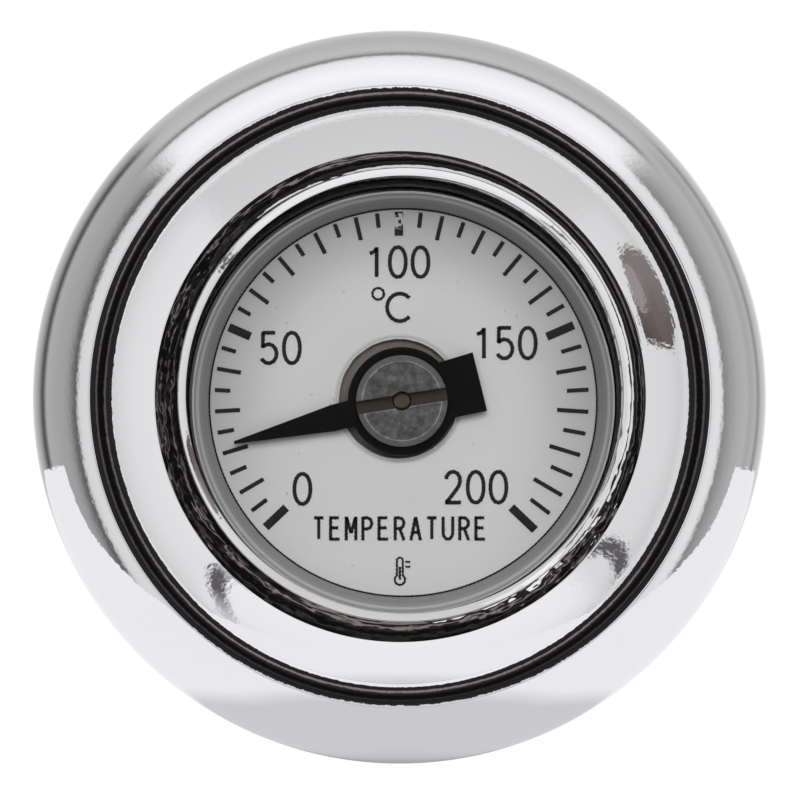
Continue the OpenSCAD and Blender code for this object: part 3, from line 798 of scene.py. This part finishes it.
def ribbonPoints(path, closed, stroke, phase):
    # a low bar of that width carried along the path: the first parameter is the length along it and
    # the second goes round its section; the ragged edge is a sum of sines of the length
    path, at = finer(path, closed)
    if closed:
        run = np.roll(path, -1, 0) - np.roll(path, 1, 0)
    else:
        run = np.gradient(path, axis=0)
    run /= np.linalg.norm(run, axis=1)[:, None]
    across = np.stack([-run[:, 1], run[:, 0]], -1)
    ragged = printLook["ragged"]
    wobble = [ragged * (np.sin(at * f + phase * g) + 0.7 * np.sin(at * f * 2.3 + phase))
              for f, g in printLook["ragged waves"]]
    left = path + across * (stroke / 2 + wobble[0])[:, None]
    right = path - across * (stroke / 2 + wobble[1])[:, None]
    low, high = dial["front"] - printLook["sunk"], dial["front"] + printLook["thickness"]
    loop = np.stack([onDial(left, low), onDial(right, low), onDial(right, high), onDial(left, high)], 1)
    if closed:
        return loop
    # both ends close on themselves
    first, last = (end.mean(1, keepdims=True) + 0 * end for end in (loop[:1], loop[-1:]))
    return np.concatenate([first, loop, last])


def printGlyph(strokes, left, bottom, width, height, stroke):
    # the pen's centre keeps half a stroke inside the box that the glyph fills
    out = []
    for k, item in enumerate(strokes):
        path, closed = item if isinstance(item, tuple) else (item, False)
        placed = np.stack([left + stroke / 2 + path[:, 0] * (width - stroke),
                           bottom + stroke / 2 + path[:, 1] * (height - stroke)], -1)
        out.append((ribbonPoints(placed, closed, stroke, left * 3.1 + bottom + k), closed))
    return out


def printPiece(name, ribbons, body="housing"):
    # every ribbon of one legend in one mesh
    points, faces, base = [], [], 0
    for ribbon, closed in ribbons:
        quads = outwards(ribbon, gridFaces(*ribbon.shape[:2], closed, True))
        faces.append(quads + base)
        points.append(ribbon.reshape(-1, 3))
        base += len(points[-1])
    piece = addMesh(name, np.concatenate(points), np.concatenate(faces).tolist(), body, ink)
    mergePoles(piece)
    piece.data.set_sharp_from_angle(angle=math.radians(30))
    return piece


def number(text, left, bottom, top):
    cell, stroke, height = printLook["cell"], printLook["digit stroke"], top - bottom
    step = cell + printLook["gap"]
    return [ribbon for k, digit in enumerate(text)
            for ribbon in printGlyph(glyphs[digit], left + k * step, bottom, cell, height, stroke)]


# painted shadow: a thin black ink ring at the dial's edge, just inside the surround's foot, where the gap under it
# is in shade
edgeShadowLine = {"radius": 15.79, "stroke": 0.15}
edgeShadowPath = arcStroke(*surroundSkew, edgeShadowLine["radius"], edgeShadowLine["radius"], 0, 360, 361)[:-1]
printPiece("dialEdgeShadow", [(ribbonPoints(edgeShadowPath, True, edgeShadowLine["stroke"], 0.0), True)])

# the scale was printed a little off the spindle, and its marks end on circles of their own:
# (centre across, centre up, radius)
scale = {"centre": (-0.23, 0.09), "middle": 90.0, "step": 6.684, "marks": 41, "outer": (0.0, 0.19, 15.25),
         "long": (-0.25, 0.51, 12.97), "short": (-0.25, 0.51, 13.71), "thin": 0.345, "thick": 0.69,
         "thick every": 10}


def toCircle(origin, way, circle):
    # how far from the origin along the way the circle lies
    dx, dz, radius = circle[0] - origin[0], circle[1] - origin[1], circle[2]
    along = dx * way[0] + dz * way[1]
    return along + math.sqrt(along ** 2 - dx ** 2 - dz ** 2 + radius ** 2)


def markRibbons():
    ribbons, s = [], scale
    for k in range(s["marks"]):
        turn = math.radians(s["middle"] + (k - (s["marks"] - 1) / 2) * s["step"])
        way, origin = (math.cos(turn), math.sin(turn)), s["centre"]
        near = toCircle(origin, way, s["short"] if k % 2 else s["long"])
        far = toCircle(origin, way, s["outer"])
        path = line(*[(origin[0] + way[0] * t, origin[1] + way[1] * t) for t in (near, far)])
        stroke = s["thin"] if k % s["thick every"] else s["thick"]
        ribbons.append((ribbonPoints(path, False, stroke, k * 1.3), False))
    return ribbons


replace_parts(printPiece("scaleMarks", markRibbons()), "scale_marks")

numbers = {"0": (-8.90, -8.54, -5.77), "50": (-11.61, 2.93, 5.73), "100": (-2.98, 9.96, 12.70),
           "150": (5.76, 3.32, 6.13), "200": (3.37, -8.43, -5.60)}
for text, (left, bottom, top) in numbers.items():
    printPiece("number" + text, number(text, left, bottom, top))

unit = {"ring": (-1.92, 8.74, 0.47, 0.47), "ring stroke": 0.2, "letter box": (-1.35, 6.36, 2.25, 2.56)}
degreeRing = arcStroke(*unit["ring"], 0, 360, 33)[:-1]
unitRibbons = [(ribbonPoints(degreeRing, True, unit["ring stroke"], 0.4), True)]
unitRibbons += printGlyph(glyphs["C"], *unit["letter box"], printLook["digit stroke"])
printPiece("unitSign", unitRibbons)

word = {"text": "TEMPERATURE", "left": -7.28, "right": 6.92, "bottom": -11.38, "top": -9.38, "gap": 0.27}


def wordRibbons():
    s = word
    step = (s["right"] - s["left"] + s["gap"]) / len(s["text"])
    box = s["bottom"], step - s["gap"], s["top"] - s["bottom"], printLook["word stroke"]
    return [ribbon for k, letter in enumerate(s["text"])
            for ribbon in printGlyph(glyphs[letter], s["left"] + k * step, *box)]


printPiece("dialWord", wordRibbons())

# a plain thermometer sign: a tube with a round bulb and two short graduations
sign = {"x": -0.15, "bulb": -14.55, "bulb radius": 0.42, "tube": 0.24, "top": -12.75, "stroke": 0.17,
        "column stroke": 0.2, "column drop": 0.75, "marks": (0.35, 0.75), "mark from": 0.45, "mark to": 0.85}


def signRibbons():
    s = sign
    x, bulb, tube, top = s["x"], s["bulb radius"], s["tube"], s["top"]
    opening = math.degrees(math.asin(tube / bulb))
    shell = join(arcStroke(x, s["bulb"], bulb, bulb, 90 + opening, 450 - opening, 30),
                 arcStroke(x, top - tube, tube, tube, 0, 180, 12))
    column = line((x, s["bulb"]), (x, top - s["column drop"]))
    ribbons = [(ribbonPoints(shell, True, s["stroke"], 1.0), True),
               (ribbonPoints(column, False, s["column stroke"], 2.0), False)]
    for height in s["marks"]:
        mark = line(*[(x + way, top - height) for way in (s["mark from"], s["mark to"])])
        ribbons.append((ribbonPoints(mark, False, s["stroke"], height), False))
    return ribbons


printPiece("thermometerSign", signRibbons())
print("print made")


# back: threaded spigot, seal, collar, nut, stem

def threadRelief(pitch, cut, crest, start, end, runOut):
    # one triangular groove a turn, flat at crest and root, fading out at both ends
    def relief(radius, depth, turn):
        phase = (depth / pitch - turn / (2 * np.pi)) % 1
        groove = np.clip((abs(2 * phase - 1) - 0.10) / 0.78, 0, 1)
        fade = np.clip((depth - start) / runOut, 0, 1) * np.clip((end - depth) / runOut, 0, 1)
        return np.where(radius > crest - 1.4, cut * groove * fade, 0)
    return relief


spigotShape = {"crest": 10.48, "pitch": 1.814, "thread depth": 1.1, "thread end": -1.2, "run out": 0.7,
               "chamfer": 0.8, "bore": 5.45, "seal groove": (12.3, 14.5), "groove depth": 2.0,
               "flange": (16.0, 3.5), "samples a pitch": 14}


def spigotCorners():
    s = spigotShape
    tip, crest = spigot["back"], s["crest"]
    rows = int(abs(tip) / s["pitch"] * s["samples a pitch"])
    threaded = [(crest, z) for z in np.linspace(tip + s["chamfer"], -0.05, rows)]
    inner, outer = s["seal groove"]
    flange, thick = s["flange"]
    return ([(s["bore"], tip, 0.1), (crest - s["chamfer"], tip, 0.05)] + threaded
            + [(crest, 0), (inner, 0, 0.08), (inner, s["groove depth"]), (outer, s["groove depth"]),
               (outer, 0, 0.08), (flange, 0, 0.2), (flange, thick), (s["bore"], thick)])


def spigotThread():
    s = spigotShape
    start = spigot["back"] + s["chamfer"] - 0.05
    return threadRelief(s["pitch"], s["thread depth"], s["crest"], start, s["thread end"], s["run out"])


turnedPiece("threadedSpigot", spigotCorners(), capAxis, "threaded_spigot", "housing", nickel, 160,
            spigotThread())

sealShape = {"ring radius": 13.4, "cord radius": 1.0}
sealMiddle = oRing["front"] / 2 + oRing["back"] / 2
sealLoop = arcPoints(sealShape["ring radius"], sealMiddle, sealShape["cord radius"], 0, 345, 24)
turnedPiece("seatSeal", sealLoop, capAxis, "seat_o_ring", "housing", rubber, 160)

collarShape = {"bore": 2.8, "pitch": 1.0, "thread depth": 0.55, "thread start": 0.2, "thread end": 3.0,
               "run out": 0.6, "chamfer": 0.5}


def collarCorners():
    s = collarShape
    outer, back, front = collar["radius"], collar["back"], collar["front"]
    threaded = [(outer, z) for z in np.arange(back + s["chamfer"], s["thread end"], s["pitch"] / 10)]
    return ([(s["bore"], back, 0.05), (outer - s["chamfer"], back, 0.05)] + threaded
            + [(outer, front, 0.05), (s["bore"], front, 0.05)])


def collarThread():
    s = collarShape
    return threadRelief(s["pitch"], s["thread depth"], collar["radius"], collar["back"] + s["thread start"],
                        s["thread end"], s["run out"])


turnedPiece("stemCollar", collarCorners(), headAxis, "stem_collar", "housing", brass, 128,
            collarThread())

washerShape = {"bore": 5.2, "edge": 0.12}
washerRing = plainRing(washerShape["bore"], washer["radius"], washer["back"], washer["front"],
                       washerShape["edge"])
turnedPiece("lockWasher", washerRing, headAxis, "lock_washer", "housing", zinc, 128)

nutShape = {"across": 13.0, "chamfer": 0.45, "bore edge": 0.3, "face inset": 0.1}


def nutPoints(segments=192):
    # the radius is the hexagon's, held inside a cone near both faces: the flat's half width over the
    # cosine of the angle from its middle
    s, back, front, bore = nutShape, nut["back"], nut["front"], collar["radius"]
    half, chamfer, edge = s["across"] / 2, s["chamfer"], s["bore edge"]
    turn = np.linspace(0, 2 * np.pi, segments, endpoint=False)
    hexagon = half / np.cos((turn + np.pi / 6) % (np.pi / 3) - np.pi / 6)
    corner = s["across"] / math.sqrt(3)
    rows = [(bore, back + edge), (bore + edge, back), (half - s["face inset"], back)]
    rows += [(corner - (corner - half) * (1 - t), back + chamfer * t) for t in np.linspace(0.0, 1, 7)]
    rows += [(corner, z) for z in np.linspace(back + chamfer, front - chamfer, 6)[1:-1]]
    rows += [(corner - (corner - half) * t, front - chamfer * (1 - t)) for t in np.linspace(0.0, 1, 7)]
    rows += [(half - s["face inset"], front), (bore + edge, front), (bore, front - edge)]
    radius, depth = (np.array(column)[:, None] for column in zip(*rows))
    radius = np.minimum(radius + 0 * turn, hexagon)
    return onDial(np.stack([radius * np.cos(turn), radius * np.sin(turn)], -1), depth)


gridPiece("clampNut", nutPoints(), "clamp_nut", "housing", brass, sharp=28)

stemShape = {"neck": 2.8, "bore": 2.6}


def tubeCorners():
    # drawn tube, turned down where the collar and case grip it
    outer, back, front = stem["radius"], stem["back"], stem["front"]
    step, neck, bore = collar["back"], stemShape["neck"], stemShape["bore"]
    return [(bore, back), (outer, back), (outer, step, 0.05), (neck, step), (neck, front), (bore, front)]


turnedPiece("stemTube", tubeCorners(), headAxis, "stem_tube", "housing", steel, 96)


def tipCorners():
    # plug in the tube's end, ground to a dome
    outer, back, plug = tip["radius"], tip["back"], stemShape["bore"]
    return ([(0, tip["front"]), (0, back)]
            + arcPoints(0, back + outer, outer, 180, 90, 18)[1:]
            + [(plug, back + outer), (plug, tip["front"])])


turnedPiece("stemTip", tipCorners(), headAxis, "stem_tip", "housing", steel, 96)
print("back made")


# pieces of the frame that keep their shape

kept = {"drive_pins": steel, "case_seal": rubber, "head_case": steel, "stem_guide": whitePlastic,
        "coil_anchor": brass, "bimetal_coil": bimetal, "dial_spacer": blackPlastic, "coil_collar": brass}
for node, finish in kept.items():
    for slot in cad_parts[node].material_slots:
        slot.material = finish


# studio: a bright room with a dark place where the camera stands

# tones by how far behind the part the light comes from: 0 at the camera's side, 1 behind
worldLook = {
    "top": [(0, .71), (.06, .705), (.165, .67), (.172, .80), (.20, .93), (.27, 1.04), (.30, 1.02), (.38, .88),
            (.40, .82), (.415, .62), (.435, .33), (.452, .26), (.49, .47), (.53, .58), (.79, .51), (.935, .60),
            (1, .75)],
    "left": [(0, .87), (.06, .86), (.12, .82), (.165, .74), (.172, .70), (.21, .78), (.245, .74), (.255, .52),
             (.266, .15), (.277, .14), (.31, .32), (.34, .39), (.64, .46), (.66, .41), (.712, .14), (.75, .09),
             (.79, .22), (.85, .40), (.94, .56), (1, .8)],
    "right": [(0, .80), (.06, .79), (.12, .77), (.165, .68), (.172, .74), (.235, .85), (.252, .80), (.262, .60),
              (.272, .27), (.32, .38), (.36, .45), (.51, .50), (.60, .43), (.71, .49), (.737, .43), (.775, .29),
              (.85, .54), (.94, .65), (1, .95)],
    "bottom": [(0, .96), (.06, .95), (.12, .92), (.165, .82), (.172, .68), (.64, .65), (.79, .55), (.9, .38),
               (1, .6)],
}
frontLook = {"half": (.425, .355), "line": (.135, .205), "black": (.006, .0055, .0055, 1),
             "dull": (.022, .020, .022, 1), "brown": (.24, .21, .205, 1)}
sheetLook = {"centre": (.08, -.55), "half": (.53, .30), "power": 2.5, "tone": (.12, .11, .12, 1)}
patchLook = {"centre": (.61, .23), "half": (.115, .15), "power": 2.4, "floor": .125,
             "light": (.235, .205, .20, 1), "dark": (.115, .085, .08, 1), "blob": (.535, .25),
             "blob half": (.045, .06), "blob tone": (.33, .30, .295, 1)}


def oval(x, z, centre, half, power=2.0):
    # 1 on a superellipse: both distances from its middle, as shares, to a power, added up
    across = ((x - centre[0]) / half[0]).math("ABSOLUTE")
    along = ((z - centre[1]) / half[1]).math("ABSOLUTE")
    return (across ** power + along ** power) ** (1 / power)


def addWorld():
    world = bpy.data.worlds.new("softStudio")
    world.use_nodes = True
    bpy.context.scene.world = world
    net = Net(world.node_tree)
    direction = net.make("ShaderNodeTexCoord", output="Generated")
    x, y, z = net.split(direction)
    behind = y * 0.5 + 0.5
    tone = {side: net.ramp(behind, [(place, grey(value)) for place, value in stops])
            for side, stops in worldLook.items()}
    across, upward = x.math("ABSOLUTE") ** 20.0, z.math("ABSOLUTE") ** 20.0
    share = across / (across + upward + 1e-12)
    fromRight, fromTop = ((way * 40 + 0.5).math("MAXIMUM", 0).math("MINIMUM", 1) for way in (x, z))
    upDown = net.mix(fromTop, tone["bottom"], tone["top"])
    room = net.mix(share, upDown, net.mix(fromRight, tone["left"], tone["right"]))
    wobble = net.make("ShaderNodeTexNoise", {}, {"Vector": direction, "Scale": 9.0, "Detail": 3.0}, "Fac") - 0.5
    # the edge of a bright sheet below
    look = sheetLook
    edge = oval(x, z, look["centre"], look["half"], look["power"])
    thin = ((z + 0.62) * 6.0).math("MAXIMUM", 0.15).math("MINIMUM", 1)
    sheetLine = band(edge, 0.93, 1.03, 0.05) * thin * band(z, -0.64, 0.0, 0.05)
    sheetLine = sheetLine * band(behind, 0.05, 0.167, 0.01)
    sheetLine = sheetLine * band(x.math("ABSOLUTE"), 0.33, 3.0, 0.08)
    room = net.mix(sheetLine, room, look["tone"])
    # a brown patch at the upper right, with a paler spot in it
    look = patchLook
    shape = oval(x, z, look["centre"], look["half"], look["power"]) + wobble * 0.15
    isPatch = (band(shape, -1.0, 1.0, 0.12) * band(z, look["floor"], 2.0, 0.012)
               * band(y, -1.0, -0.655, 0.01))
    height = ((z - 0.12) * 5.0 + wobble).math("MINIMUM", 1).math("MAXIMUM", 0)
    patch = net.mix(height, look["dark"], look["light"])
    blob = oval(x, z, look["blob"], look["blob half"])
    patch = net.mix(band(blob, -1.0, 1.0, 0.3), patch, look["blob tone"])
    room = net.mix(isPatch, room, patch)
    # in front, round the camera, it is black, with a brown ring that is widest and brightest below
    look = frontLook
    reach = (x * x + z * z + 1e-6) ** 0.5 + wobble * 0.05
    down = net.ramp(z / reach * -0.5 + 0.5, [(0.0, grey(0.10)), (0.5, grey(0.42)), (1.0, grey(1.0))])
    brownRing = band(reach, *look["line"], 0.05) * down
    fill = (z * -4).math("MAXIMUM", 0).math("MINIMUM", 1) * band(reach, -1.0, 0.2, 0.05) * 0.25
    front = net.mix(band(reach, 0.23, 3.0, 0.1), look["black"], look["dull"])
    front = net.mix((brownRing + fill).math("MINIMUM", 1), front, look["brown"])
    isFront = band(oval(x, z, (0, 0), look["half"]), -1.0, 1.0, 0.03)
    isFront = isFront * band(behind, -1.0, 0.2, 0.01)
    room = net.mix(isFront, room, front)
    seen = net.make("ShaderNodeLightPath", output="Is Camera Ray")
    lit = net.make("ShaderNodeBackground", {}, {"Color": room, "Strength": 1.0})
    white = net.make("ShaderNodeBackground", {}, {"Color": grey(1.0), "Strength": 1.0})
    shown = net.make("ShaderNodeMixShader", {}, {0: seen, 1: lit, 2: white})
    net.make("ShaderNodeOutputWorld", {}, {"Surface": shown})


addWorld()

floorLook = {"size": 3000.0, "mirrored": (150.0, 28.0, 150.0), "mirror drop": 0.1, "shade reach": 80.0,
             "shade": [(0.0, .40), (0.105, .42), (0.117, .58), (0.13, .66), (0.14, .68), (0.24, .68),
                       (0.28, .95), (1.0, .95)], "shade tint": (0.985, 0.98, 1)}


def floorPlane(name, depth, sides, build):
    # a flat sheet: left and right reach, then front and back
    left, right, front, back = (side * mm for side in sides)
    mesh = bpy.data.meshes.new(name)
    corners = [(-left, -front, depth), (right, -front, depth), (right, back, depth), (-left, back, depth)]
    mesh.from_pydata(corners, [], [(0, 1, 2, 3)])
    plane = bpy.data.objects.new(name, mesh)
    bpy.context.collection.objects.link(plane)
    made = bpy.data.materials.new(name)
    made.use_nodes = True
    net = Net(made.node_tree)
    net.make("ShaderNodeOutputMaterial", {}, {"Surface": build(net)})
    mesh.materials.append(made)
    return plane


def paleFloor(net):
    return net.make("ShaderNodeEmission", {}, {"Color": grey(1.0), "Strength": 1.0})


def shadedFloor(net):
    # what the plating mirrors: a pale glowing sheet, with painted shade close under the part
    x, y, _ = net.split(net.place())
    far = (x * x + y * y) ** 0.5 / mm / floorLook["shade reach"]
    tint = floorLook["shade tint"]
    tone = net.ramp(far, [(place, (*(value * share for share in tint), 1)) for place, value in floorLook["shade"]])
    return net.make("ShaderNodeEmission", {}, {"Color": tone, "Strength": 1.0})


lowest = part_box("cap_body")[0].z
reach = floorLook["size"]
seenFloor = floorPlane("paleFloor", lowest, (reach, reach, reach, reach), paleFloor)
seenFloor.visible_glossy = seenFloor.visible_diffuse = seenFloor.visible_shadow = False
half, near, far = floorLook["mirrored"]
mirrorDepth = lowest - floorLook["mirror drop"] * mm
mirrorFloor = floorPlane("shadedFloor", mirrorDepth, (half, half, near, far), shadedFloor)
mirrorFloor.visible_camera = False

lamp = {"place": (0.05, -0.90, 0.50), "size": 0.8, "power": 10.0}


def addLamp():
    data = bpy.data.lights.new("softLamp", "AREA")
    data.shape, data.size, data.energy = "SQUARE", lamp["size"], lamp["power"]
    light = bpy.data.objects.new("softLamp", data)
    light.location = lamp["place"]
    away = light.location.copy()
    light.rotation_euler = away.to_track_quat("Z", "Y").to_euler()
    light.visible_glossy = False
    bpy.context.collection.objects.link(light)


addLamp()
print("studio made")


# camera

# rim share is the rim's radius as a share of the frame's width, and rim depth is how far forward it lies
view = {"distance": 0.5, "azimuth": -0.5, "elevation": -0.3, "rim share": 0.457875, "rim depth": 7.4,
        "aim x": 0.10, "aim z": -0.20, "sensor": 36}


def addCamera():
    # the lens is as long as it takes for the rim to fill that share of the frame
    a, e = math.radians(view["azimuth"]), math.radians(view["elevation"])
    away = np.array([math.sin(a) * math.cos(e), -math.cos(a) * math.cos(e), math.sin(e)])
    aim = np.array([view["aim x"], 0, view["aim z"]]) * mm
    data = bpy.data.cameras.new("camera")
    camera = bpy.data.objects.new("camera", data)
    bpy.context.collection.objects.link(camera)
    camera.location = aim + away * view["distance"]
    camera.rotation_euler = (math.radians(90 - view["elevation"]), 0, a)
    rimDistance = view["distance"] - view["rim depth"] * mm
    data.sensor_width = view["sensor"]
    data.lens = view["rim share"] * rimDistance / (cap["radius"] * mm) * data.sensor_width
    bpy.context.scene.camera = camera


addCamera()
bpy.context.scene.view_settings.view_transform = "Standard"
